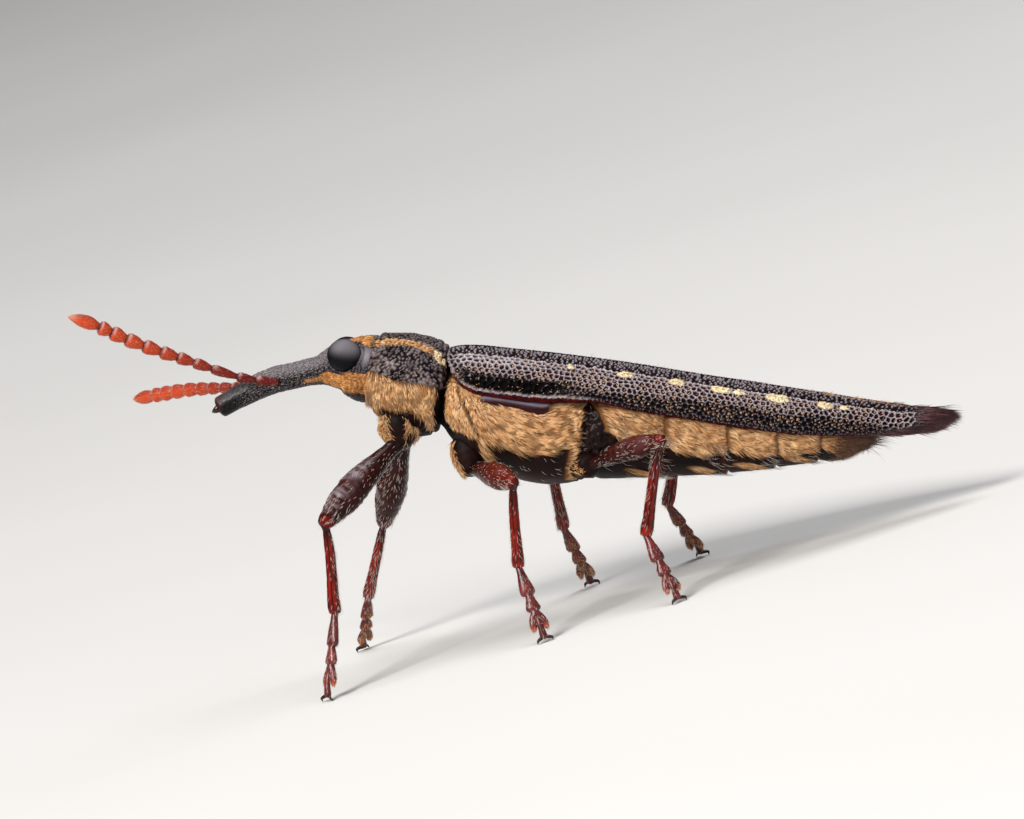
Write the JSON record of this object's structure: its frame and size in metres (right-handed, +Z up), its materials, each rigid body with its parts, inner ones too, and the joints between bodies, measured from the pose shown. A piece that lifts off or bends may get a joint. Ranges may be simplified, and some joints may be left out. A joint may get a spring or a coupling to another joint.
{
  "type": "belid weevil figure (rhinotia lineata)",
  "caption": "Slender long-snouted weevil standing on its feet, with beaded feelers held forward, a hairy tan side, pitted dark wing cases and a bristly tail.",
  "frame": {"origin": "on the floor, under the middle of the bounding box", "axes": "+X from the feelers towards the tail, +Y to the animal's right, +Z up"},
  "size_m": [0.0218, 0.0084, 0.0116],
  "materials": {
    "head": "dark grey granular horn",
    "rostrum": "dark grey fine-grained horn with a glossy tip",
    "eye": "near-black finely faceted, glossy",
    "antenna": "orange-red, satin, finely haired",
    "prothorax": "black, closely pimpled",
    "thorax": "black-brown polished horn under its hair",
    "abdomen": "dark brown polished horn under its hair",
    "elytron": "black with grey-lilac ridges round dark red pits",
    "coxa": "dark brown horn",
    "femur": "very dark red-brown, glossy",
    "tibia": "deep red, glossy",
    "tarsus": "red-brown, satin, fringed with pale hair",
    "claw": "dark brown, glossy",
    "tan_hair": "dense combed tan hair",
    "white_hair": "sparse white and silvery hair",
    "cream_scale": "cream scale spots",
    "dark_hair": "dark brown bristles"
  },
  "bodies": {
    "root": {"head": "head", "rostrum": "rostrum", "eye_left": "eye", "eye_right": "eye", "antenna_left": "antenna", "antenna_right": "antenna", "prothorax": "prothorax", "thorax": "thorax", "abdomen": "abdomen", "elytron_left": "elytron", "elytron_right": "elytron", "coxa_front_left": "coxa", "femur_front_left": "femur", "tibia_front_left": "tibia", "tarsus_front_left": "tarsus", "coxa_front_right": "coxa", "femur_front_right": "femur", "tibia_front_right": "tibia", "tarsus_front_right": "tarsus", "coxa_middle_left": "coxa", "femur_middle_left": "femur", "tibia_middle_left": "tibia", "tarsus_middle_left": "tarsus", "coxa_middle_right": "coxa", "femur_middle_right": "femur", "tibia_middle_right": "tibia", "tarsus_middle_right": "tarsus", "coxa_hind_left": "coxa", "femur_hind_left": "femur", "tibia_hind_left": "tibia", "tarsus_hind_left": "tarsus", "coxa_hind_right": "coxa", "femur_hind_right": "femur", "tibia_hind_right": "tibia", "tarsus_hind_right": "tarsus"}
  },
  "joints": []
}
